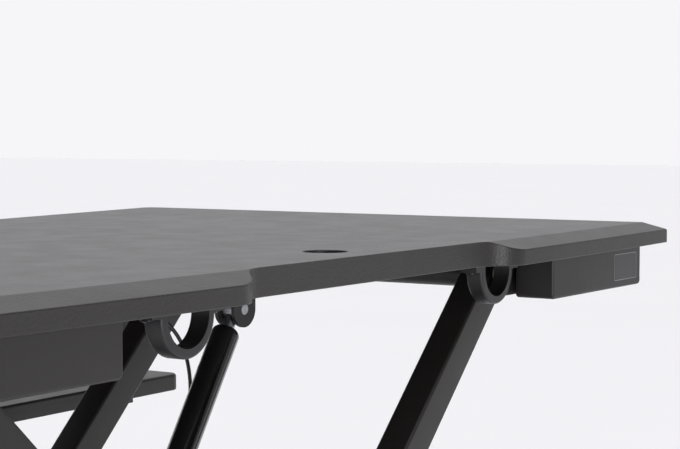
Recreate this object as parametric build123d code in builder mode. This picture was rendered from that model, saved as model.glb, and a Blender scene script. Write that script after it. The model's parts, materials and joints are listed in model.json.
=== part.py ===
"""Standing desk converter: a wide worktop on two sideways scissors, with a hanging keyboard tray.

Frame: +Z up, +Y to the rear, origin on the desk under the middle of the whole unit. Millimetres.
The rear scissor and the front scissor are joined by cross tubes into an outer and an inner frame.
The outer frame's foot and the inner frame's head turn on fixed pivots at the +X side, and their other
ends roll along channels, so the worktop rises straight up and stays level.
"""
import math
import os

from build123d import *

os.makedirs("parts", exist_ok=True)

# ---- driving dimensions ----
top_width = 950.0
top_depth = 600.0
top_thick = 18.0
total_depth = 720.0

bevel_drop = 6.5
bevel_run = 17.0
rear_bow = 15.0
front_dip = 48.0
front_dip_half = 170.0
front_corner_r = 28.0

recess_half = 155.0
recess_depth = 19.0
recess_ease = 42.0
grommet_r = 15.0
grommet_inset = 62.0

arm_length = 780.0
arm_high = 28.0
arm_deep = 25.0
arm_wall = 1.5
span_rest = 566.0
fixed_x = 306.0
low_rise = 150.0

pair_gap = 30.0
rear_scissor = 68.5
frame_depth = 317.0
cross_r = 11.0
pin_r = 5.0
axle_r = 4.0
run_fit = 0.05

rail_wall = 2.0
rail_lip = 11.0
rail_half = 472.0
rail_short = 238.0
pivot_half = 30.0
roller_r = 13.0
roller_wide = 7.0
roller_fit = 0.5
roller_side = 1.0
foot_high = 5.0
foot_r = 14.0

box_inner = 258.0
box_outer = 428.0
box_inset = 20.0
box_deep = 33.0
box_high = 33.0
box_wall = 1.2
box_corner = 4.0
box_fold = 1.8

tray_width = 664.0
tray_deep = 280.0
tray_thick = 15.0
tray_drop = 130.0
tray_corner = 12.0
hanger_x = 235.0
hanger_wide = 45.0
hanger_thick = 3.0
hanger_foot = 75.0
hanger_seat = 50.0

clip_x = 187.0
clip_inset = 38.0
clip_outer = 25.0
clip_inner = 19.0
clip_long = 13.0
clip_bar = 6.0
clip_bar_half = 33.0

spring_x = -47.0
spring_inset = 170.0
spring_drop = 30.0
cyl_r = 10.2
cyl_wall = 1.5
cyl_long = 322.0
cyl_start = 16.0
rod_r = 5.0
piston_long = 18.0
seat_gap = 0.5

lever_x = 290.0
lever_inset = 520.0

cable_r = 1.4
screw_head_r = 4.0
screw_head = 2.0

# ---- levels and stations ----
rest_angle = math.degrees(math.acos(span_rest / arm_length))
rise_rest = math.sqrt(arm_length**2 - span_rest**2)
low_angle = math.degrees(math.asin(low_rise / arm_length))
fold_angle = rest_angle - low_angle

rail_inner = 2 * (roller_r + roller_fit)
rail_high = rail_inner + 2 * rail_wall
pivot_z = foot_high + rail_high / 2
head_z = pivot_z + rise_rest
under_z = head_z + rail_high / 2
top_z = under_z + top_thick
slide_x = fixed_x - span_rest
centre_x = fixed_x - span_rest / 2
centre_z = (pivot_z + head_z) / 2

rear_y = total_depth / 2
front_y = rear_y - top_depth
outer_rear_y = rear_y - rear_scissor
outer_front_y = outer_rear_y - frame_depth
inner_rear_y = outer_rear_y - arm_deep - pair_gap
inner_front_y = outer_front_y + arm_deep + pair_gap
rail_rear_y = outer_rear_y + roller_side + rail_lip
rail_front_y = outer_front_y - roller_side - rail_lip
tray_rear_y = -rear_y + tray_deep
edge_y = rear_y - rear_bow
spring_y = rear_y - spring_inset
spring_z = under_z - spring_drop


# ---- worktop: fibreboard, wide bevel all round the top, a recess for clamps in the rear edge ----
def rear_curve(x):
    return rear_y - rear_bow * (x / (top_width / 2)) ** 2


half_w = top_width / 2
with BuildPart() as worktop:
    with BuildSketch(Plane.XY.offset(under_z)) as board_plan:
        with BuildLine():
            ThreePointArc((-half_w, edge_y), (0, rear_y), (half_w, edge_y))
            Line((half_w, edge_y), (half_w, front_y))
            Line((half_w, front_y), (front_dip_half, front_y + front_dip))
            Line((front_dip_half, front_y + front_dip), (-front_dip_half, front_y + front_dip))
            Line((-front_dip_half, front_y + front_dip), (-half_w, front_y))
            Line((-half_w, front_y), (-half_w, edge_y))
        make_face()
        fillet(board_plan.vertices().group_by(Axis.Y)[0], radius=front_corner_r)
    extrude(amount=top_thick - bevel_drop)
    with BuildSketch(Plane.XY.offset(top_z - bevel_drop)):
        add(board_plan.sketch.moved(Location((0, 0, -under_z))))
    with BuildSketch(Plane.XY.offset(top_z)):
        add(board_plan.sketch.moved(Location((0, 0, -under_z))))
        offset(amount=-bevel_run, kind=Kind.INTERSECTION)
    loft(ruled=True)
    turn = 2 * math.atan(recess_depth / recess_ease)
    ease_r = recess_ease / 2 / math.sin(turn)
    mouth = recess_half + recess_ease / 2
    floor_half = recess_half - recess_ease / 2
    mouth_y = rear_curve(mouth)
    floor_y = mouth_y - recess_depth
    with BuildSketch(Plane.XY.offset(under_z)):
        with BuildLine():
            Line((-mouth, rear_y + recess_depth), (mouth, rear_y + recess_depth))
            Line((mouth, rear_y + recess_depth), (mouth, mouth_y))
            RadiusArc((mouth, mouth_y), (recess_half, (mouth_y + floor_y) / 2), -ease_r)
            RadiusArc((recess_half, (mouth_y + floor_y) / 2), (floor_half, floor_y), ease_r)
            Line((floor_half, floor_y), (-floor_half, floor_y))
            RadiusArc((-floor_half, floor_y), (-recess_half, (mouth_y + floor_y) / 2), ease_r)
            RadiusArc((-recess_half, (mouth_y + floor_y) / 2), (-mouth, mouth_y), -ease_r)
            Line((-mouth, mouth_y), (-mouth, rear_y + recess_depth))
        make_face()
    extrude(amount=top_thick, mode=Mode.SUBTRACT)
    with BuildSketch(Plane.XY.offset(under_z)):
        with Locations((0, rear_y - grommet_inset)):
            Circle(grommet_r)
    extrude(amount=top_thick, mode=Mode.SUBTRACT)
worktop.part.label = "worktop"
export_step(worktop.part, "parts/worktop.step")


# ---- channels: folded steel, lips towards the frames; long on the base, short under the worktop ----
def channel_block(web_y, toward, mid_z, low_x, high_x):
    """A C channel along X whose web's outer face is at web_y and whose lips point toward (+1 or -1)."""
    with BuildPart() as channel:
        with BuildSketch(Plane.YZ.offset(low_x)):
            with Locations((web_y + toward * rail_lip / 2, mid_z)):
                Rectangle(rail_lip, rail_high)
            with Locations((web_y + toward * (rail_wall + rail_lip) / 2, mid_z)):
                Rectangle(rail_lip - rail_wall, rail_inner, mode=Mode.SUBTRACT)
        extrude(amount=high_x - low_x)
        if high_x > fixed_x:
            pin_hole = Plane(origin=(fixed_x, web_y, mid_z), x_dir=(1, 0, 0), z_dir=(0, toward, 0))
            with BuildSketch(pin_hole):
                Circle(pin_r + run_fit)
            extrude(amount=rail_wall, mode=Mode.SUBTRACT)
    return channel


rear_web = rail_rear_y
front_web = rail_front_y
short_run = (-rail_half, rail_short - rail_half)
pivot_run = (fixed_x - pivot_half, fixed_x + pivot_half)
channels = {
    "upper_rail_rear": (rear_web, -1, head_z, *short_run),
    "upper_rail_front": (front_web, 1, head_z, *short_run),
    "head_bracket_rear": (rear_web, -1, head_z, *pivot_run),
    "head_bracket_front": (front_web, 1, head_z, *pivot_run),
    "base_rail_rear": (rear_web, -1, pivot_z, -rail_half, rail_half),
    "base_rail_front": (front_web, 1, pivot_z, -rail_half, rail_half),
}
for name, section in channels.items():
    channel = channel_block(*section)
    channel.part.label = name
    export_step(channel.part, f"parts/{name}.step")

# ---- base: two flat cross plates under the channels' ends, and four rubber feet ----
plate_wide = 40.0
plate_thick = 2.5
plate_x = rail_half - plate_wide / 2 - foot_r
for name, side in (("base_plate_left", -1), ("base_plate_right", 1)):
    with BuildPart() as base_plate:
        with BuildSketch(Plane.XY.offset(foot_high - plate_thick)):
            with Locations((side * plate_x, (rear_web + front_web) / 2)):
                RectangleRounded(plate_wide, rear_web - front_web, 6)
        extrude(amount=plate_thick)
    base_plate.part.label = name
    export_step(base_plate.part, f"parts/{name}.step")

with BuildPart() as base_feet:
    with BuildSketch():
        for side in (-1, 1):
            for foot_y in (rear_web - foot_r, front_web + foot_r):
                with Locations((side * plate_x, foot_y)):
                    Circle(foot_r)
    extrude(amount=foot_high - plate_thick)
base_feet.part.label = "base_feet"
export_step(base_feet.part, "parts/base_feet.step")


# ---- scissor arms: square steel tube with half-round plastic plugs, drilled for the middle bolt ----
def arm_plane(centre_y, side):
    """Plane through the scissor's middle, its X along the arm; side +1 rises to -X, -1 rises to +X."""
    rise = math.radians(rest_angle)
    along = (-side * math.cos(rise), 0, math.sin(rise))
    return Plane(origin=(centre_x, centre_y, centre_z), x_dir=along, z_dir=(0, -1, 0))


plug_lap = 6.0
tube_long = arm_length - 2 * plug_lap
arms = {
    "outer_arm_rear": (outer_rear_y - arm_deep / 2, 1),
    "outer_arm_front": (outer_front_y + arm_deep / 2, 1),
    "inner_arm_rear": (inner_rear_y - arm_deep / 2, -1),
    "inner_arm_front": (inner_front_y + arm_deep / 2, -1),
}
middle_bolt_r = 4.0
for name, (mid_y, side) in arms.items():
    plane = arm_plane(mid_y, side)
    with BuildPart() as arm:
        with BuildSketch(Plane(origin=plane.origin, x_dir=(0, 1, 0), z_dir=plane.x_dir)):
            RectangleRounded(arm_deep, arm_high, 2.5)
            RectangleRounded(arm_deep - 2 * arm_wall, arm_high - 2 * arm_wall, 1.2, mode=Mode.SUBTRACT)
        extrude(amount=tube_long / 2, both=True)
        with BuildSketch(plane):
            Circle(middle_bolt_r + run_fit)
        extrude(amount=arm_deep / 2, both=True, mode=Mode.SUBTRACT)
    arm.part.label = name
    export_step(arm.part, f"parts/{name}.step")

    with BuildPart() as plugs:
        with BuildSketch(plane):
            for end in (-1, 1):
                with Locations((end * (arm_length / 2), 0)):
                    Circle(arm_high / 2)
                with Locations((end * (arm_length / 2 - plug_lap / 2), 0)):
                    Rectangle(plug_lap, arm_high)
                with Locations((end * (arm_length / 2 - plug_lap - 20), 0)):
                    Rectangle(40, arm_high, mode=Mode.SUBTRACT)
        extrude(amount=arm_deep / 2, both=True)
        with BuildSketch(plane):
            for end in (-1, 1):
                with Locations((end * arm_length / 2, 0)):
                    Circle(pin_r)
        extrude(amount=arm_deep / 2, both=True, mode=Mode.SUBTRACT)
    plugs.part.label = name.replace("arm", "ends")
    export_step(plugs.part, f"parts/{plugs.part.label}.step")


# ---- cross tubes and stub pins: each frame's two arms are welded to a tube at head and foot ----
outer_in = (outer_front_y + arm_deep, outer_rear_y - arm_deep)
inner_in = (inner_front_y + arm_deep, inner_rear_y - arm_deep)
pin_reach = arm_deep + roller_side + rail_lip
axle_reach = arm_deep + roller_side + rail_lip - rail_wall - roller_side
outer_gap = arm_deep + pair_gap
ends = {
    "outer_head_tube": (slide_x, head_z, outer_in, axle_reach, axle_r),
    "outer_foot_tube": (fixed_x, pivot_z, outer_in, pin_reach, pin_r),
    "inner_head_tube": (fixed_x, head_z, inner_in, pin_reach + outer_gap, pin_r),
    "inner_foot_tube": (slide_x, pivot_z, inner_in, axle_reach + outer_gap, axle_r),
}
for name, (x, z, (low_y, high_y), reach, tip_r) in ends.items():
    with BuildPart() as cross_tube:
        with BuildSketch(Plane.XZ.offset(-high_y)):
            with Locations((x, z)):
                Circle(cross_r)
        extrude(amount=high_y - low_y)
        for face_y, way in ((high_y, 1), (low_y, -1)):
            tip_plane = Plane(origin=(x, face_y, z), x_dir=(1, 0, 0), z_dir=(0, way, 0))
            with BuildSketch(tip_plane):
                Circle(pin_r)
            extrude(amount=arm_deep)
            with BuildSketch(tip_plane.offset(arm_deep)):
                Circle(tip_r)
            extrude(amount=reach - arm_deep)
    cross_tube.part.label = name
    export_step(cross_tube.part, f"parts/{name}.step")

# ---- rollers: nylon wheels at the free ends, turning on the stub axles ----
rollers = {
    "head_roller_rear": (head_z, outer_rear_y + roller_side),
    "head_roller_front": (head_z, outer_front_y - roller_side - roller_wide),
    "foot_roller_rear": (pivot_z, outer_rear_y + roller_side),
    "foot_roller_front": (pivot_z, outer_front_y - roller_side - roller_wide),
}
for name, (z, low_y) in rollers.items():
    with BuildPart() as roller:
        with BuildSketch(Plane.XZ.offset(-(low_y + roller_wide))):
            with Locations((slide_x, z)):
                Circle(roller_r)
                Circle(axle_r + run_fit, mode=Mode.SUBTRACT)
        extrude(amount=roller_wide)
        chamfer(roller.edges().filter_by(GeomType.CIRCLE).group_by(SortBy.RADIUS)[-1], length=0.8)
    roller.part.label = name
    export_step(roller.part, f"parts/{name}.step")

# ---- middle bolts: one through each pair of arms, fixed in the outer arm ----
bolt_head_r = 8.0
bolt_head = 4.0
bolts = {
    "middle_bolt_rear": (outer_rear_y, -1),
    "middle_bolt_front": (outer_front_y, 1),
}
for name, (face_y, way) in bolts.items():
    with BuildPart() as bolt:
        head = Plane(origin=(centre_x, face_y, centre_z), x_dir=(1, 0, 0), z_dir=(0, -way, 0))
        with BuildSketch(head):
            Circle(bolt_head_r)
        extrude(amount=bolt_head)
        with BuildSketch(Plane(origin=head.origin, x_dir=(1, 0, 0), z_dir=(0, way, 0))):
            Circle(middle_bolt_r)
        extrude(amount=2 * arm_deep + pair_gap + bolt_head)
        with BuildSketch(Plane(origin=head.origin, x_dir=(1, 0, 0), z_dir=(0, way, 0)).offset(arm_deep)):
            Circle(bolt_head_r)
            Circle(middle_bolt_r, mode=Mode.SUBTRACT)
        extrude(amount=pair_gap - 0.2)
    bolt.part.label = name
    export_step(bolt.part, f"parts/{name}.step")

# ---- rear boxes: folded steel covers below the rear edge, open at the top ----
box_mid = (box_inner + box_outer) / 2
box_long = box_outer - box_inner
box_y = rear_y - box_inset - box_deep / 2
for name, side in (("rear_box_left", -1), ("rear_box_right", 1)):
    with BuildPart() as rear_box:
        with BuildSketch(Plane.XZ.offset(-(box_y + box_deep / 2))):
            with Locations((side * box_mid, under_z - box_high / 2)):
                Rectangle(box_long, box_high)
        extrude(amount=box_deep)
        low_edges = rear_box.edges().filter_by(Axis.Y).group_by(Axis.Z)[0]
        fillet(low_edges, radius=box_corner)
        face_edges = rear_box.faces().filter_by(Axis.Y).edges()
        fillet([edge for edge in face_edges if edge.center().Z < under_z - 1], radius=box_fold)
        offset(amount=-box_wall, openings=rear_box.faces().sort_by(Axis.Z)[-1])
    rear_box.part.label = name
    export_step(rear_box.part, f"parts/{name}.step")

# ---- cable clips: half rings below the rear edge, each on a flat bar with two screws ----
clip_y = rear_y - clip_inset
for name, side in (("cable_clip_left", -1), ("cable_clip_right", 1)):
    with BuildPart() as cable_clip:
        with BuildSketch(Plane.XZ.offset(-(clip_y + clip_long / 2))):
            with Locations((side * clip_x, under_z - clip_bar / 2)):
                Rectangle(2 * clip_bar_half, clip_bar)
            with Locations((side * clip_x, under_z - clip_bar)):
                Circle(clip_outer)
            with Locations((side * clip_x, under_z - clip_bar)):
                Circle(clip_inner, mode=Mode.SUBTRACT)
            with Locations((side * clip_x, under_z + clip_outer / 2)):
                Rectangle(4 * clip_outer, clip_outer, mode=Mode.SUBTRACT)
        extrude(amount=clip_long)
        rim = cable_clip.edges().filter_by(GeomType.CIRCLE).group_by(SortBy.RADIUS)[-1]
        fillet(rim, radius=2.0)
    cable_clip.part.label = name
    export_step(cable_clip.part, f"parts/{name}.step")

with BuildPart() as clip_screws:
    for side in (-1, 1):
        for step in (-1, 1):
            screw_x = side * clip_x + step * (clip_outer + clip_bar_half) / 2
            with BuildSketch(Plane.XY.offset(under_z - clip_bar - screw_head)):
                with Locations((screw_x, clip_y)):
                    Circle(screw_head_r)
            extrude(amount=screw_head)
clip_screws.part.label = "clip_screws"
export_step(clip_screws.part, "parts/clip_screws.step")

# ---- keyboard tray on two bent steel hangers in front of the front scissor ----
tray_top = under_z - tray_drop
with BuildPart() as keyboard_tray:
    with BuildSketch(Plane.XY.offset(tray_top - tray_thick)) as tray_plan:
        with Locations((0, tray_rear_y - tray_deep / 2)):
            RectangleRounded(tray_width, tray_deep, tray_corner)
    extrude(amount=tray_thick)
    fillet(keyboard_tray.faces().sort_by(Axis.Z)[-1].edges(), radius=2.5)
keyboard_tray.part.label = "keyboard_tray"
export_step(keyboard_tray.part, "parts/keyboard_tray.step")

tray_low = tray_top - tray_thick
web_y = tray_rear_y + hanger_thick / 2
for name, side in (("tray_hanger_left", -1), ("tray_hanger_right", 1)):
    with BuildPart() as tray_hanger:
        with BuildSketch(Plane.YZ.offset(side * hanger_x - hanger_wide / 2)):
            with Locations((web_y, (under_z + tray_low - hanger_thick) / 2)):
                Rectangle(hanger_thick, under_z - tray_low + hanger_thick)
            with Locations((web_y - hanger_seat / 2, under_z - hanger_thick / 2)):
                Rectangle(hanger_seat, hanger_thick)
            with Locations((web_y - hanger_foot / 2, tray_low - hanger_thick / 2)):
                Rectangle(hanger_foot, hanger_thick)
        extrude(amount=hanger_wide)
    tray_hanger.part.label = name
    export_step(tray_hanger.part, f"parts/{name}.step")

with BuildPart() as tray_screws:
    for below, from_web in ((under_z, hanger_seat * 2 / 3), (tray_low, hanger_foot * 2 / 3)):
        with BuildSketch(Plane.XY.offset(below - hanger_thick - screw_head)):
            for side in (-1, 1):
                for step in (-1, 1):
                    with Locations((side * hanger_x + step * hanger_wide / 4, web_y - from_web)):
                        Circle(screw_head_r)
        extrude(amount=screw_head)
tray_screws.part.label = "tray_screws"
export_step(tray_screws.part, "parts/tray_screws.step")

# ---- gas spring: hung from a fork under the worktop, its rod seated on the outer foot tube ----
reach_x = fixed_x - spring_x
reach_z = spring_z - pivot_z
spring_long = math.hypot(reach_x, reach_z)
down = (reach_x / spring_long, 0, -reach_z / spring_long)
spring_axis = Plane(origin=(spring_x, spring_y, spring_z), x_dir=(0, 1, 0), z_dir=down)

fork_gap = 12.0
fork_wall = 3.0
fork_wide = 26.0
eye_r = 8.0
neck_r = 4.5
with BuildPart() as spring_fork:
    with BuildSketch(Plane.XY.offset(under_z - fork_wall)):
        with Locations((spring_x, spring_y)):
            Rectangle(60, fork_gap + 2 * fork_wall)
    extrude(amount=fork_wall)
    for side in (-1, 1):
        ear_y = spring_y + side * (fork_gap + fork_wall) / 2
        with BuildSketch(Plane.XZ.offset(-(ear_y + fork_wall / 2))):
            with Locations((spring_x, (under_z + spring_z) / 2)):
                Rectangle(fork_wide, under_z - spring_z)
            with Locations((spring_x, spring_z)):
                Circle(fork_wide / 2)
        extrude(amount=fork_wall)
    with BuildSketch(Plane.XZ.offset(-(spring_y + fork_gap))):
        with Locations((spring_x, spring_z)):
            Circle(axle_r)
    extrude(amount=2 * fork_gap, mode=Mode.SUBTRACT)
spring_fork.part.label = "spring_fork"
export_step(spring_fork.part, "parts/spring_fork.step")

with BuildPart() as spring_pin:
    with BuildSketch(Plane.XZ.offset(-(spring_y + fork_gap / 2 + fork_wall))):
        with Locations((spring_x, spring_z)):
            Circle(axle_r)
    extrude(amount=fork_gap + 2 * fork_wall)
spring_pin.part.label = "spring_pin"
export_step(spring_pin.part, "parts/spring_pin.step")

with BuildPart() as spring_eye:
    with BuildSketch(Plane.XZ.offset(-(spring_y + fork_gap / 2 - 1))):
        with Locations((spring_x, spring_z)):
            Circle(eye_r)
    extrude(amount=fork_gap - 2)
    with BuildSketch(spring_axis):
        Circle(neck_r)
    extrude(amount=cyl_start)
    with BuildSketch(Plane.XZ.offset(-(spring_y + fork_gap / 2))):
        with Locations((spring_x, spring_z)):
            Circle(axle_r + run_fit)
    extrude(amount=fork_gap, mode=Mode.SUBTRACT)
spring_eye.part.label = "spring_eye"
export_step(spring_eye.part, "parts/spring_eye.step")

guide_long = 12.0
with BuildPart() as gas_cylinder:
    with BuildSketch(spring_axis.offset(cyl_start)):
        Circle(cyl_r)
    extrude(amount=cyl_long)
    fillet(gas_cylinder.edges().filter_by(GeomType.CIRCLE).sort_by(Axis.Z)[-1], radius=5.5)
    with BuildSketch(spring_axis.offset(cyl_start + 7)):
        Circle(cyl_r - cyl_wall)
    extrude(amount=cyl_long - 7, mode=Mode.SUBTRACT)
gas_cylinder.part.label = "gas_cylinder"
export_step(gas_cylinder.part, "parts/gas_cylinder.step")

with BuildPart() as rod_guide:
    with BuildSketch(spring_axis.offset(cyl_start + cyl_long - guide_long)):
        Circle(cyl_r - cyl_wall)
        Circle(rod_r + run_fit, mode=Mode.SUBTRACT)
    extrude(amount=guide_long)
rod_guide.part.label = "rod_guide"
export_step(rod_guide.part, "parts/rod_guide.step")

seat_r = cross_r + seat_gap
seat_wide = 20.0
seat_high = 34.0
rod_end = spring_long - seat_r - 3
rod_start = cyl_start + cyl_long - guide_long - piston_long - 6
with BuildPart() as gas_rod:
    with BuildSketch(spring_axis.offset(rod_start)):
        Circle(rod_r)
    extrude(amount=rod_end - rod_start)
    with BuildSketch(spring_axis.offset(rod_start)):
        Circle(cyl_r - cyl_wall - 0.1)
    extrude(amount=piston_long)
gas_rod.part.label = "gas_rod"
export_step(gas_rod.part, "parts/gas_rod.step")

# The seat is open at its lower inner side, so the rod lifts off the tube and never passes through it.
with BuildPart() as rod_seat:
    seat_plane = Plane(origin=(fixed_x, spring_y + seat_wide / 2, pivot_z), x_dir=down, z_dir=(0, -1, 0))
    with BuildSketch(seat_plane):
        with Locations((-seat_r + 1, seat_high / 4)):
            RectangleRounded(14, seat_high / 2 + 2 * rod_r, 3)
        with Locations((0, seat_high / 4)):
            RectangleRounded(2 * seat_r + 8, seat_high / 2, 3)
        Circle(seat_r, mode=Mode.SUBTRACT)
        with Locations((8, -seat_high / 2)):
            Rectangle(2 * seat_r + 8, seat_high, mode=Mode.SUBTRACT)
    extrude(amount=seat_wide)
    with BuildSketch(spring_axis):
        Circle(rod_r)
    extrude(amount=rod_end, mode=Mode.SUBTRACT)
rod_seat.part.label = "rod_seat"
export_step(rod_seat.part, "parts/rod_seat.step")

# ---- release lever: a sprung paddle in a steel bracket under the front edge ----
lever_y = rear_y - lever_inset
lever_z = under_z - 14.0
lever_pin_r = 3.0
lever_wide = 44.0
cheek = 2.5
with BuildPart() as lever_bracket:
    with BuildSketch(Plane.XY.offset(under_z - cheek)):
        with Locations((lever_x, lever_y)):
            Rectangle(lever_wide + 2 * cheek + 1, 30)
    extrude(amount=cheek)
    for side in (-1, 1):
        cheek_x = lever_x + side * (lever_wide + cheek + 1) / 2
        with BuildSketch(Plane.YZ.offset(cheek_x - cheek / 2)):
            with Locations((lever_y, under_z - 11)):
                RectangleRounded(24, 22, 3)
            with Locations((lever_y, lever_z)):
                Circle(lever_pin_r, mode=Mode.SUBTRACT)
        extrude(amount=cheek)
lever_bracket.part.label = "lever_bracket"
export_step(lever_bracket.part, "parts/lever_bracket.step")

with BuildPart() as lever_pin:
    with BuildSketch(Plane.YZ.offset(lever_x - lever_wide / 2 - cheek - 0.5)):
        with Locations((lever_y, lever_z)):
            Circle(lever_pin_r)
    extrude(amount=lever_wide + 2 * cheek + 1)
lever_pin.part.label = "lever_pin"
export_step(lever_pin.part, "parts/lever_pin.step")

paddle_long = 62.0
with BuildPart() as release_lever:
    with BuildSketch(Plane.YZ.offset(lever_x - lever_wide / 2)):
        with Locations((lever_y, lever_z)):
            Circle(7)
        with Locations((lever_y - paddle_long / 2, lever_z - 8)):
            RectangleRounded(paddle_long, 7, 3)
        with Locations((lever_y - 6, lever_z - 5)):
            Rectangle(12, 9)
        with Locations((lever_y, lever_z)):
            Circle(lever_pin_r + run_fit, mode=Mode.SUBTRACT)
    extrude(amount=lever_wide)
release_lever.part.label = "release_lever"
export_step(release_lever.part, "parts/release_lever.step")

# ---- release cable: from the lever's bracket, below the front channel, down to the spring's side ----
beside = cyl_r + cable_r + 0.4
cable_route = [
    (lever_x, lever_y + 17, under_z - 14),
    (lever_x - 3, lever_y + 29, under_z - 14),
    (lever_x - 14, lever_y + 36, under_z - 15),
    (256, lever_y + 38, under_z - 16),
    (228, lever_y + 36, under_z - 15),
    (198, lever_y + 39, under_z - 14),
    (168, lever_y + 51, under_z - 15),
    (138, lever_y + 64, under_z - 18),
    (109, lever_y + 80, under_z - 24),
    (81, lever_y + 96, under_z - 32),
    (57, lever_y + 117, under_z - 38),
    (45, lever_y + 146, under_z - 41),
    (40, lever_y + 178, under_z - 40),
    (37, spring_y - 140, under_z - 35),
    (31, spring_y - 108, under_z - 27),
    (23, spring_y - 78, under_z - 22),
    (12, spring_y - 51, under_z - 23),
    (0, spring_y - 31, under_z - 33),
    (-12, spring_y - beside - 12, under_z - 47),
    (-21, spring_y - beside - 11, under_z - 65),
    (-25, spring_y - beside - 11, under_z - 85),
    (-22, spring_y - beside - 11, under_z - 104),
    (-12, spring_y - beside - 10, under_z - 120),
    (4, spring_y - beside - 7, under_z - 134),
    (24, spring_y - beside - 2, under_z - 146),
    (40, spring_y - beside, under_z - 158),
]
points = [Vector(*p) for p in cable_route]
radii = []
for before, here, after in zip(points, points[1:], points[2:]):
    run_in = here - before
    run_out = after - here
    half_turn = math.radians(run_in.get_angle(run_out)) / 2
    radii.append(0.45 * min(run_in.length, run_out.length) / math.tan(half_turn))
print("cable arc radii, mm:", [round(r, 1) for r in radii])
with BuildPart() as release_cable:
    with BuildLine() as cable_line:
        FilletPolyline(*points, radius=radii)
    with BuildSketch(Plane(origin=points[0], z_dir=points[1] - points[0])):
        Circle(cable_r)
    sweep()
release_cable.part.label = "release_cable"
export_step(release_cable.part, "parts/release_cable.step")
cable_long = sum(edge.length for edge in cable_line.edges())
print("cable length", round(cable_long, 1), "volume ratio", round(
    release_cable.part.volume / (math.pi * cable_r**2 * cable_long), 4))

# ---- cable ends: a ferrule at the lever bracket and a clamp on the cylinder ----
saddle_wide = 11.0
saddle_wall = 2.5
boss_r = 3.2
last_run = points[-1] - points[-2]
with BuildPart() as cable_saddle:
    with BuildSketch(Plane(origin=points[-1], z_dir=last_run)):
        Circle(boss_r)
    extrude(amount=saddle_wide)
    saddle_at = (points[-1] - spring_axis.origin).dot(spring_axis.z_dir) + saddle_wall
    with BuildSketch(spring_axis.offset(saddle_at)):
        Circle(cyl_r + saddle_wall)
    extrude(amount=saddle_wide)
    with BuildSketch(spring_axis):
        Circle(cyl_r)
    extrude(amount=cyl_start + cyl_long, mode=Mode.SUBTRACT)
cable_saddle.part.label = "cable_saddle"
export_step(cable_saddle.part, "parts/cable_saddle.step")

with BuildPart() as cable_ferrule:
    with BuildSketch(Plane(origin=points[0], z_dir=points[0] - points[1])):
        Circle(3)
    extrude(amount=9)
cable_ferrule.part.label = "cable_ferrule"
export_step(cable_ferrule.part, "parts/cable_ferrule.step")

print("rest angle", rest_angle, "fold", fold_angle, "under_z", under_z, "top", top_z)
print("head_z", head_z, "pivot_z", pivot_z, "slide_x", slide_x, "centre", centre_x, centre_z)
print("spring from", spring_x, spring_y, spring_z, "length", spring_long, "down", down)
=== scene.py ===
"""Standing desk converter: a charcoal board on black steel scissors, with a keyboard tray and a gas spring.

Metres, +Z up, +Y to the rear edge. The script follows the unit as it is put together.
"""
import json
import math

import bmesh
import bpy
import numpy as np
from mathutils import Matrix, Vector

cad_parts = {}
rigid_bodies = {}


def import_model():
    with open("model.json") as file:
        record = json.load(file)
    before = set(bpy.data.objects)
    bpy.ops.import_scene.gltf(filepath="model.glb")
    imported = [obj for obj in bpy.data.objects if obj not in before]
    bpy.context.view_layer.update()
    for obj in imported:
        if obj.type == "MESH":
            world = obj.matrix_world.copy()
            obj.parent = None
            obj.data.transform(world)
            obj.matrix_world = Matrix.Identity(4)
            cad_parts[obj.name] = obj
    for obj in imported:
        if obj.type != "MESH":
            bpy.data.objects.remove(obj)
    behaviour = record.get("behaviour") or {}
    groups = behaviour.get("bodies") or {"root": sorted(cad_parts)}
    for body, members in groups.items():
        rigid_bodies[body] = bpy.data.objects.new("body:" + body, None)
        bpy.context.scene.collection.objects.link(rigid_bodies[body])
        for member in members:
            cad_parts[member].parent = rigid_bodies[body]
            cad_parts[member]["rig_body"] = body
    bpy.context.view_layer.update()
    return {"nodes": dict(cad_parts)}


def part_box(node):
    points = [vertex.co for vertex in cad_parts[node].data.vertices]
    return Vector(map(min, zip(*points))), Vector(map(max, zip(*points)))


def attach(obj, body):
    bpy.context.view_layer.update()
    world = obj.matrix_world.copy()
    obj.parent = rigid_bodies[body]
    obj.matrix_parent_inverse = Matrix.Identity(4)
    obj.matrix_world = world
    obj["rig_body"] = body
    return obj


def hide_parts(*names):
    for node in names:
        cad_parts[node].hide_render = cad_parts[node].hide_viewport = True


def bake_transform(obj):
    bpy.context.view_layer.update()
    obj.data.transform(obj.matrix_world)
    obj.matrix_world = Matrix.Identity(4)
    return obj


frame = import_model()

# ---- camera ----
# Behind the unit and a little above the board, looking down along its long rear edge.
# A long lens from about a metre off the near corner.
board_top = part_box("worktop")[1].z
eye = Vector((0.9692, 0.9300, board_top + 0.0803))
pitch = math.radians(3.093)
heading = (-0.842, -0.539)
lens_data = bpy.data.cameras.new("camera")
lens_data.lens = 92.96
lens_data.sensor_width = 36.0
lens_data.clip_end = 100.0
camera = bpy.data.objects.new("camera", lens_data)
bpy.context.scene.collection.objects.link(camera)
camera.location = eye
sight = Vector((heading[0] * math.cos(pitch), heading[1] * math.cos(pitch), -math.sin(pitch)))
camera.rotation_euler = sight.to_track_quat("-Z", "Y").to_euler()
bpy.context.scene.camera = camera

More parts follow.
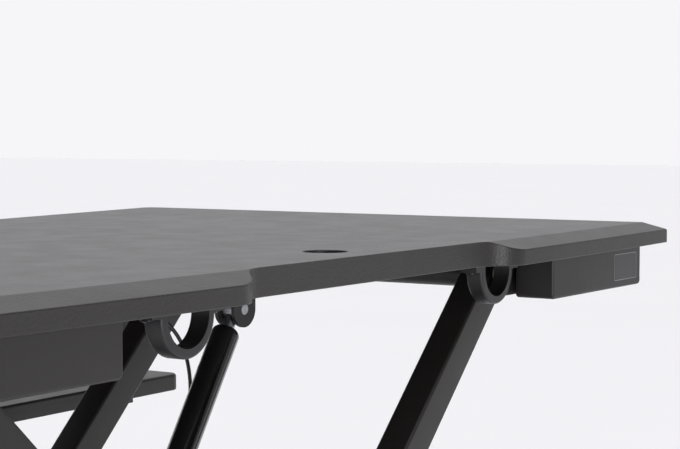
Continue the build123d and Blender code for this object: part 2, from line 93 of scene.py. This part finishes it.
# ---- release cable: steel wire in a black PVC jacket ----
# It leaves the ferrule at the lever's bracket, runs under the board, and goes into the clamp on the
# gas spring. The jacket is extruded, so it is smooth and half glossy with faint draw lines.
mm = 0.001
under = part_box("worktop")[0].z
cable_diameter = 2.8 * mm
cable_points = [
    (290, -143, 14), (287, -131, 14), (276, -124, 15), (256, -122, 16), (228, -124, 15), (198, -121, 14),
    (168, -109, 15), (138, -96, 18), (109, -80, 24), (81, -64, 32), (57, -43, 38), (45, -14, 41),
    (40, 18, 40), (37, 50, 35), (31, 82, 27), (23, 112, 22), (12, 139, 23), (0, 159, 33),
    (-12, 166, 47), (-21, 167, 65), (-25, 167, 85), (-22, 167, 104), (-12, 168, 120), (4, 171, 134),
    (24, 176, 146), (40, 178, 158),
]
cable_spots = [Vector((x * mm, y * mm, under - drop * mm)) for x, y, drop in cable_points]


def linear(code):
    """The linear colour of an sRGB hex code: c/12.92 below 0.04045, else ((c + 0.055)/1.055)^2.4."""
    parts = [int(code[i:i + 2], 16) / 255 for i in (0, 2, 4)]
    return tuple(c / 12.92 if c <= 0.04045 else ((c + 0.055) / 1.055) ** 2.4 for c in parts) + (1.0,)


def add(tree, kind, settings=None, inputs=None):
    """Adds a node, sets its properties, and gives each named or numbered input a value or a link."""
    node = tree.nodes.new(kind)
    for key, value in (settings or {}).items():
        setattr(node, key, value)
    for key, value in (inputs or {}).items():
        if isinstance(value, bpy.types.NodeSocket):
            tree.links.new(value, node.inputs[key])
        else:
            node.inputs[key].default_value = value
    return node


def finish_of(name, pale, dark, patch_mm, rough, shader):
    """A material whose colour and roughness drift between two values over patches patch_mm wide.

    Returns the material, its tree, its shader and the Object coordinates for more nodes.
    """
    material = bpy.data.materials.new(name)
    material.use_nodes = True
    tree = material.node_tree
    bsdf = tree.nodes["Principled BSDF"]
    for key, value in shader.items():
        bsdf.inputs[key].default_value = value
    place = add(tree, "ShaderNodeTexCoord").outputs["Object"]
    drift = add(tree, "ShaderNodeTexNoise", None,
                {"Vector": place, "Scale": 1 / (patch_mm * mm), "Detail": 4.0, "Roughness": 0.6})
    tone = add(tree, "ShaderNodeMix", {"data_type": "RGBA"},
               {0: drift.outputs["Fac"], 6: linear(dark), 7: linear(pale)})
    tree.links.new(tone.outputs[2], bsdf.inputs["Base Color"])
    spread = add(tree, "ShaderNodeMapRange", None,
                 {"Value": drift.outputs["Fac"], "From Min": 0.25, "From Max": 0.75,
                  "To Min": rough[0], "To Max": rough[1]})
    tree.links.new(spread.outputs["Result"], bsdf.inputs["Roughness"])
    return material, tree, bsdf, place


def grain(tree, bsdf, height, distance_mm, strength):
    """Raises the surface by the height pattern, distance_mm at its full value."""
    bump = add(tree, "ShaderNodeBump", None,
               {"Height": height, "Distance": distance_mm * mm, "Strength": strength})
    tree.links.new(bump.outputs["Normal"], bsdf.inputs["Normal"])


def noisy(tree, bsdf, place, wide_mm, detail, deep_mm, strength, rough=0.5):
    """Fine relief from noise whose marks are about wide_mm wide and deep_mm deep."""
    marks = add(tree, "ShaderNodeTexNoise", None,
                {"Vector": place, "Scale": 1 / (wide_mm * mm), "Detail": detail, "Roughness": rough})
    grain(tree, bsdf, marks.outputs["Fac"], deep_mm, strength)


pvc, tree, bsdf, place = finish_of("extruded_black_pvc", "1d1d1f", "121213", 9, (0.26, 0.36),
                                   {"IOR": 1.53})
noisy(tree, bsdf, place, wide_mm=1.2, detail=2.0, deep_mm=0.04, strength=0.3)

cable_curve = bpy.data.curves.new("release_cable_line", "CURVE")
cable_curve.dimensions = "3D"
cable_curve.bevel_resolution = 4
cable_curve.use_fill_caps = True
line = cable_curve.splines.new("NURBS")
line.points.add(len(cable_spots) - 1)
line.points.foreach_set("co", np.array([(*p, 1.0) for p in cable_spots]).ravel())
line.order_u = 3
line.use_endpoint_u = True
line.resolution_u = 8
cable_line = bpy.data.objects.new("release_cable_line", cable_curve)
bare = bpy.data.meshes.new_from_object(cable_line)
cable_curve.bevel_depth = cable_diameter / 2
cable = bpy.data.objects.new("cable_jacket", bpy.data.meshes.new_from_object(cable_line))
bpy.data.objects.remove(cable_line)
cable.data.materials.clear()
cable.data.materials.append(pvc)
cable.data.polygons.foreach_set("use_smooth", [True] * len(cable.data.polygons))
bpy.context.scene.collection.objects.link(cable)
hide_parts("release_cable")
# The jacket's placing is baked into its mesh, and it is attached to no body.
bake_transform(cable)

# ---- worktop and keyboard tray: medium-density fibreboard wrapped in charcoal foil ----
# The foil is pressed on hot with a fine pebble grain, and turns over every edge, so no edge is sharp.
# A grazing look down the board sees it as grey, because each pebble's flank reflects the room.
foil, tree, bsdf, place = finish_of("pressed_charcoal_foil", "2b2928", "262423", 30, (0.40, 0.47),
                                    {"IOR": 1.50})
pebble_mm = 1.7      # wider than real foil's, which are too fine to show
dust_mm = 2.3
cell = add(tree, "ShaderNodeTexVoronoi", {"feature": "SMOOTH_F1"},
           {"Vector": place, "Scale": 1 / (pebble_mm * mm), "Smoothness": 0.6})
dust = add(tree, "ShaderNodeTexNoise", None,
           {"Vector": place, "Scale": 1 / (dust_mm * mm), "Detail": 3.0, "Roughness": 0.7})
mixed = add(tree, "ShaderNodeMath", {"operation": "ADD"},
            {0: cell.outputs["Distance"], 1: dust.outputs["Fac"]})
grain(tree, bsdf, mixed.outputs["Value"], 0.18, 0.7)


merge_gap = 0.004 * mm     # joins the corners that neighbouring faces share
flat_turn = 0.4            # degrees; faces that turn less than this are one flat face


def soften(node, edge_mm, material, creases=30):
    """A merged copy of a CAD node with its edges rolled to a radius of edge_mm; it stands for the node."""
    source = frame["nodes"][node]
    mesh = source.data.copy()
    mesh.materials.clear()
    mesh.materials.append(material)
    form = bmesh.new()
    form.from_mesh(mesh)
    bmesh.ops.remove_doubles(form, verts=form.verts, dist=merge_gap)
    bmesh.ops.dissolve_limit(form, angle_limit=math.radians(flat_turn), verts=form.verts, edges=form.edges)
    for face in form.faces:
        face.smooth = True
        face.material_index = 0
    for edge in form.edges:
        edge.smooth = edge.calc_face_angle(0) < math.radians(creases)
    form.to_mesh(mesh)
    form.free()
    piece = bpy.data.objects.new(node + "_piece", mesh)
    bpy.context.scene.collection.objects.link(piece)
    if edge_mm:
        roll = piece.modifiers.new("rolled_edges", "BEVEL")
        roll.width = edge_mm * mm
        roll.segments = 3
        roll.limit_method = "ANGLE"
        roll.angle_limit = math.radians(creases)
        roll.harden_normals = True
    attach(piece, source["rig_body"])
    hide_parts(node)
    return piece


soften("worktop", 1.1, foil, 14)
soften("keyboard_tray", 0.8, foil, 14)

# ---- steelwork: folded channels and plates, square arms and round cross tubes ----
# Mild steel, degreased and powder coated satin black in one batch before the pieces are bolted up.
# The powder flows into a low orange peel and stays a little warmer and paler than the plastic.
powder, tree, bsdf, place = finish_of("satin_black_powder_coat", "242120", "1d1b1a", 60, (0.40, 0.48),
                                      {"IOR": 1.50})
noisy(tree, bsdf, place, wide_mm=2.6, detail=1.0, deep_mm=0.06, strength=0.45, rough=0.4)

cross_tubes = ("outer_head_tube", "outer_foot_tube", "inner_head_tube", "inner_foot_tube")
for name in ("upper_rail_rear", "upper_rail_front", "head_bracket_rear", "head_bracket_front",
             "base_rail_rear", "base_rail_front"):
    soften(name, 0.4, powder)
for name in ("base_plate_left", "base_plate_right", "tray_hanger_left", "tray_hanger_right"):
    soften(name, 0.8, powder)
for name in ("outer_arm_rear", "outer_arm_front", "inner_arm_rear", "inner_arm_front"):
    soften(name, 0, powder)
for name in cross_tubes:
    soften(name, 0.5, powder)
for name in ("rear_box_left", "rear_box_right"):
    soften(name, 0, powder)
for name in ("spring_fork", "lever_bracket"):
    soften(name, 0.4, powder)


# ---- weld beads: where each cross tube meets the inner face of its two arms ----
# Mild steel laid down in one pass by hand, so the bead is a row of overlapping ripples.
# Coated with the arms afterwards, so it has the same powder finish.
bead = 1.6 * mm
ripples, ripple_depth = 46, 0.14


def ring(name, centre, radius, material, body):
    """A bead round a tube along Y: radius + r cos v out from the axis and r sin v along it,

    with r = bead times 1 + ripple_depth cos(ripples u), u round the tube and v round the bead.
    """
    u = np.linspace(0, 2 * np.pi, 121)[:-1, None]
    v = np.linspace(0, 2 * np.pi, 13)[None, :-1]
    r = bead * (1 + ripple_depth * np.cos(ripples * u))
    out = radius + r * np.cos(v)
    points = np.stack([centre[0] + out * np.cos(u), centre[1] + r * np.sin(v),
                       centre[2] + out * np.sin(u)], -1)
    return grid_piece(name, points, True, True, material, body)


def grid_piece(name, points, round_u, round_v, material, body):
    """A smooth piece from a grid of points, joined into rings where a direction closes on itself."""
    nu, nv = points.shape[:2]
    i = np.arange(nu if round_u else nu - 1)[:, None]
    j = np.arange(nv if round_v else nv - 1)[None, :]
    a = i * nv + j
    b = (i + 1) % nu * nv + j
    c = (i + 1) % nu * nv + (j + 1) % nv
    d = i * nv + (j + 1) % nv
    mesh = bpy.data.meshes.new(name)
    mesh.from_pydata(points.reshape(-1, 3), [], np.stack([a, b, c, d], -1).reshape(-1, 4))
    form = bmesh.new()
    form.from_mesh(mesh)
    bmesh.ops.remove_doubles(form, verts=form.verts, dist=0.002 * mm)
    bmesh.ops.recalc_face_normals(form, faces=form.faces)
    for face in form.faces:
        face.smooth = True
    for edge in form.edges:
        edge.smooth = edge.calc_face_angle(0) < math.radians(35)
    form.to_mesh(mesh)
    form.free()
    mesh.materials.append(material)
    piece = bpy.data.objects.new(name, mesh)
    bpy.context.scene.collection.objects.link(piece)
    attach(piece, body)
    return piece


for tube in cross_tubes:
    low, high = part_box(tube)
    middle = (low + high) / 2
    tube_radius = (high.z - low.z) / 2
    frame_name = tube.split("_")[0]
    arm_low, arm_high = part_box(f"{frame_name}_arm_rear"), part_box(f"{frame_name}_arm_front")
    for side, face in (("rear", arm_low[0].y - bead / 2), ("front", arm_high[1].y + bead / 2)):
        ring(f"{tube}_weld_{side}", (middle.x, face, middle.z), tube_radius + bead / 3, powder,
             f"{frame_name}_frame")

# ---- moulded plastic: arm plugs, cable clips, the lever, the rod guide and the cable's saddle ----
# Black nylon, moulded against a spark-eroded tool that leaves a fine dull texture.
moulded, tree, bsdf, place = finish_of("moulded_black_nylon", "1c1c1d", "141415", 30, (0.36, 0.46),
                                       {"IOR": 1.53})
noisy(tree, bsdf, place, wide_mm=0.9, detail=4.0, deep_mm=0.05, strength=0.35, rough=0.7)
for name in ("outer_ends_rear", "outer_ends_front", "inner_ends_rear", "inner_ends_front"):
    soften(name, 0.6, moulded)
for name in ("cable_clip_left", "cable_clip_right"):
    soften(name, 0.7, moulded)
soften("release_lever", 1.4, moulded)
soften("rod_guide", 0.4, moulded)
soften("cable_saddle", 0.4, moulded)


# ---- screws and middle bolts: alloy steel with a black oxide finish ----
# Cold headed with a hexagon socket, then blackened in hot salts, which leaves a thin oily oxide.
# The clip and tray screws have low button heads; the scissors turn on the two middle bolts.
oxide, tree, bsdf, place = finish_of("black_oxide_steel", "3a3a3c", "242426", 6, (0.30, 0.44),
                                     {"IOR": 1.5, "Metallic": 0.85})
noisy(tree, bsdf, place, wide_mm=0.7, detail=3.0, deep_mm=0.03, strength=0.3)


def turned(name, start, axis, profile, material, body, steps=72):
    """A turned piece: each profile row (r, s, k) is carried round the axis at r out and s along.

    Where k is 1 the row is a hexagon with r across its flats halved, r / cos(u mod 60 degrees - 30).
    """
    axis = np.array(axis, float) / np.linalg.norm(axis)
    side = np.cross(axis, (0.0, 1.0, 0.0) if abs(axis[1]) < 0.9 else (1.0, 0.0, 0.0))
    side /= np.linalg.norm(side)
    other = np.cross(axis, side)
    u = np.linspace(0, 2 * np.pi, steps + 1)[:-1]
    hexagon = 1 / np.cos(np.mod(u, np.pi / 3) - np.pi / 6)
    r, s, k = (np.array(column)[:, None] for column in zip(*profile))
    out = r * (1 + k * (hexagon[None, :] - 1))
    points = (np.array(start)[None, None, :] + s[..., None] * axis
              + (out * np.cos(u))[..., None] * side + (out * np.sin(u))[..., None] * other)
    return grid_piece(name, points, False, True, material, body)


def button(radius, high, socket, deep):
    """A button head's profile from the socket's floor out to the seat, s upwards from the seat."""
    arc = np.linspace(0.15, 1.0, 7)[2:]
    dome = [(radius * a, high * math.sqrt(1 - 0.82 * a * a), 0) for a in arc]
    return [(0, high - deep, 0), (socket, high - deep, 1), (socket, high * 0.93, 1),
            (socket * 1.12, high * 0.97, 0), *dome, (radius, 0, 0), (0, 0, 0)]


screw_socket, screw_deep = 1.3 * mm, 1.1 * mm


def screws_of(node, body):
    """One button head, facing down, for each disc of a CAD node of screws."""
    form = bmesh.new()
    form.from_mesh(frame["nodes"][node].data)
    bmesh.ops.remove_doubles(form, verts=form.verts, dist=merge_gap)
    left, heads = set(form.verts), []
    while left:
        found, edge = set(), [left.pop()]
        while edge:
            vert = edge.pop()
            found.add(vert)
            for link in vert.link_edges:
                other = link.other_vert(vert)
                if other in left:
                    left.discard(other)
                    edge.append(other)
        spots = np.array([v.co[:] for v in found])
        heads.append((spots.min(0), spots.max(0)))
    form.free()
    heads.sort(key=lambda pair: tuple(np.round(pair[0], 5)))
    for number, (low, high) in enumerate(heads):
        middle, tall = (low + high) / 2, high[2] - low[2]
        piece = turned(f"{node}_{number}", (middle[0], middle[1], high[2]), (0, 0, -1),
                       button((high[0] - low[0]) / 2, tall, screw_socket, screw_deep), oxide,
                       body)
        if number == 0:
            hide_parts(node)


screws_of("clip_screws", "top")
screws_of("tray_screws", "top")

head_r, head_high = 8 * mm, 4 * mm
bolt_socket, bolt_deep = 2.6 * mm, 2.4 * mm
shank_r, tip_r, tip_long = 4 * mm, 3.5 * mm, 0.5 * mm
washer_clear, washer_step = 0.2 * mm, 0.02 * mm
for name, way in (("middle_bolt_rear", -1), ("middle_bolt_front", 1)):
    low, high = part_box(name)
    middle = (low + high) / 2
    head_at = high.y - head_high if way < 0 else low.y + head_high
    long = high.y - low.y - head_high
    profile = [(r, -s, k) for r, s, k in button(head_r, head_high, bolt_socket, bolt_deep)[:-2]]
    end = name.split("_")[-1]
    outer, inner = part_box(f"outer_arm_{end}"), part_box(f"inner_arm_{end}")
    deep = outer[1].y - outer[0].y
    gap = max(outer[0].y - inner[1].y, inner[0].y - outer[1].y)
    washer_end = deep + gap - washer_clear
    profile += [(head_r, 0, 0), (shank_r, 0, 0), (shank_r, deep, 0), (head_r, deep + washer_step, 0),
                (head_r, washer_end, 0), (shank_r, washer_end + washer_step, 0),
                (shank_r, long - tip_long, 0), (tip_r, long, 0), (0, long, 0)]
    bolt = turned(name + "_turned", (middle.x, head_at, middle.z), (0, way, 0), profile, oxide,
                  "outer_frame")
    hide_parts(name)

# ---- gas spring: a lacquered tube, a chromed rod and zinc-plated end fittings ----
# The tube is drawn steel in gloss black lacquer, with a deep round shoulder where its end is spun over.
# The rod is ground and hard chromed, and the eye, pins, seat and ferrule are zinc plated.
lacquer, tree, bsdf, place = finish_of("gloss_black_lacquer", "0e0e0f", "0a0a0b", 80, (0.13, 0.19),
                                       {"IOR": 1.5, "Coat Weight": 0.6, "Coat Roughness": 0.06})
noisy(tree, bsdf, place, wide_mm=5.0, detail=1.0, deep_mm=0.03, strength=0.25)
chrome, tree, bsdf, place = finish_of("ground_hard_chrome", "c9cacc", "bfc0c3", 12, (0.07, 0.12),
                                      {"Metallic": 1.0})
noisy(tree, bsdf, place, wide_mm=0.8, detail=2.0, deep_mm=0.01, strength=0.2)
zinc, tree, bsdf, place = finish_of("bright_zinc_plate", "c3c6c9", "a3a7ab", 5, (0.24, 0.38),
                                    {"Metallic": 1.0})
noisy(tree, bsdf, place, wide_mm=1.1, detail=3.0, deep_mm=0.03, strength=0.3)
soften("gas_cylinder", 0, lacquer, 40)
soften("gas_rod", 0.4, chrome)
for name in ("spring_eye", "spring_pin", "rod_seat", "lever_pin", "cable_ferrule"):
    soften(name, 0.5, zinc)

# ---- rollers: natural nylon wheels on the stub axles ----
# Turned from cast nylon rod, waxy and slightly see-through, so light softens inside the rim.
nylon, tree, bsdf, place = finish_of("turned_natural_nylon", "dcd8cc", "cfcabd", 8, (0.34, 0.44),
                                     {"IOR": 1.53, "Subsurface Weight": 0.15, "Subsurface Scale": 0.002})
noisy(tree, bsdf, place, wide_mm=1.0, detail=2.0, deep_mm=0.04, strength=0.3)
for name in ("head_roller_rear", "head_roller_front", "foot_roller_rear", "foot_roller_front"):
    soften(name, 0.3, nylon)

# ---- feet: moulded rubber discs glued under the base ----
# Soft black rubber with a dull bloom, which keeps the base from sliding on the desk.
rubber, tree, bsdf, place = finish_of("moulded_black_rubber", "1f1f20", "171718", 7, (0.72, 0.86),
                                      {"IOR": 1.52})
noisy(tree, bsdf, place, wide_mm=0.8, detail=4.0, deep_mm=0.06, strength=0.5)
soften("base_feet", 0.3, rubber)


# ---- rating sticker: a blank black film with a pale border, on the end of a rear box ----
# Printed polyester film, rolled on by hand; it carries no words or marks.
def sticker(name, low, high, y, lift, corner, material, body):
    """A thin slab on the plane y, lift thick, whose outline is a rectangle with round corners."""
    u = np.linspace(0, 2 * np.pi, 65)[:-1]
    half = np.array([(high[0] - low[0]) / 2, (high[1] - low[1]) / 2])
    corner_at = np.sign([np.cos(u + 1e-9), np.sin(u + 1e-9)]).T * (half - corner)
    outline = corner_at + corner * np.stack([np.cos(u), np.sin(u)], -1)
    middle = np.array([(high[0] + low[0]) / 2, (high[1] + low[1]) / 2])
    rows = [(0.0, lift), (1.0, lift), (1.0, 0.0), (0.0, 0.0)]
    points = np.stack([np.stack([middle[0] + k * outline[:, 0], np.full(len(u), y + h),
                                 middle[1] + k * outline[:, 1]], -1) for k, h in rows])
    return grid_piece(name, points, False, True, material, body)


film, tree, bsdf, place = finish_of("printed_black_film", "1b1b1d", "151517", 20, (0.30, 0.38),
                                    {"IOR": 1.55})
noisy(tree, bsdf, place, wide_mm=4.0, detail=2.0, deep_mm=0.03, strength=0.3)
ink, tree, bsdf, place = finish_of("pale_grey_ink", "8d8d8f", "7d7d80", 20, (0.42, 0.5), {"IOR": 1.5})
noisy(tree, bsdf, place, wide_mm=1.0, detail=2.0, deep_mm=0.01, strength=0.2)
box_low, box_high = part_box("rear_box_left")
sticker_long, from_end, from_foot, from_board = 46 * mm, 9 * mm, 6 * mm, 5 * mm
border, ink_high, film_high = 0.6 * mm, 0.12 * mm, 0.2 * mm
ink_corner, film_corner = 2 * mm, 1.4 * mm
sticker_low = (box_low.x + from_end, box_low.z + from_foot)
sticker_high = (sticker_low[0] + sticker_long, box_high.z - from_board)
sticker("sticker_border", sticker_low, sticker_high, box_high.y, ink_high, ink_corner, ink,
        "top")
sticker("sticker_face", (sticker_low[0] + border, sticker_low[1] + border),
        (sticker_high[0] - border, sticker_high[1] - border), box_high.y, film_high, film_corner, film,
        "top")

# ---- studio: a pale floor, a white room and two soft lights ----
# The wall that the eye faces is bright and the one behind it is dim, so the board's top turns pale at a
# glance and the end faces stay black, while the ceiling keeps the floor white.
room_bright, room_dark, ceiling = 1.0, 0.02, 1.85
wall_seen = 0.94     # how bright the wall looks to the eye itself
floor_mesh = bpy.data.meshes.new("studio_floor")
reach = 30.0
floor_mesh.from_pydata([(-reach, -reach, 0), (reach, -reach, 0), (reach, reach, 0),
                        (-reach, reach, 0)], [], [(0, 1, 2, 3)])
paper = finish_of("seamless_white_paper", "f6f6f7", "f2f2f3", 900, (0.8, 0.9), {"IOR": 1.45})[0]
floor_mesh.materials.append(paper)
floor = bpy.data.objects.new("studio_floor", floor_mesh)
bpy.context.scene.collection.objects.link(floor)

world = bpy.data.worlds.new("white_room")
bpy.context.scene.world = world
world.use_nodes = True
tree = world.node_tree
way = add(tree, "ShaderNodeTexCoord").outputs["Generated"]
across = add(tree, "ShaderNodeVectorMath", {"operation": "DOT_PRODUCT"}, {0: way, 1: (*heading, 0.0)})
behind = add(tree, "ShaderNodeMapRange", {"interpolation_type": "SMOOTHSTEP"},
             {"Value": across.outputs["Value"], "From Min": 0.30, "From Max": 1.0,
              "To Min": room_dark, "To Max": room_bright})
height = add(tree, "ShaderNodeSeparateXYZ", None, {0: way})
overhead = add(tree, "ShaderNodeMapRange", {"interpolation_type": "SMOOTHSTEP"},
               {"Value": height.outputs["Z"], "From Min": 0.45, "From Max": 1.0,
                "To Min": 0.0, "To Max": ceiling})
room = add(tree, "ShaderNodeMath", {"operation": "ADD"},
           {0: behind.outputs["Result"], 1: overhead.outputs["Result"]})
seen = add(tree, "ShaderNodeLightPath").outputs["Is Camera Ray"]
backdrop = add(tree, "ShaderNodeMix", {"data_type": "FLOAT"},
               {0: seen, 2: room.outputs["Value"], 3: wall_seen})
tree.links.new(backdrop.outputs[0], tree.nodes["Background"].inputs["Strength"])
tree.nodes["Background"].inputs["Color"].default_value = linear("fdfcff")
bpy.context.scene.view_settings.view_transform = "Standard"


def softbox(name, spot, target, wide, high, power):
    """A rectangular area light at spot, turned to face target."""
    data = bpy.data.lights.new(name, "AREA")
    data.shape = "RECTANGLE"
    data.size, data.size_y, data.energy = wide, high, power
    lamp = bpy.data.objects.new(name, data)
    bpy.context.scene.collection.objects.link(lamp)
    lamp.location = spot
    lamp.rotation_euler = (Vector(target) - Vector(spot)).to_track_quat("-Z", "Y").to_euler()


softbox("edge_light", (0.95, 2.05, 0.70), (-0.155, 0.35, 0.58), 0.35, 0.9, 16)
softbox("rear_light", (-1.6, 2.2, 1.0), (-0.1, 0.2, 0.4), 1.2, 1.0, 1.5)
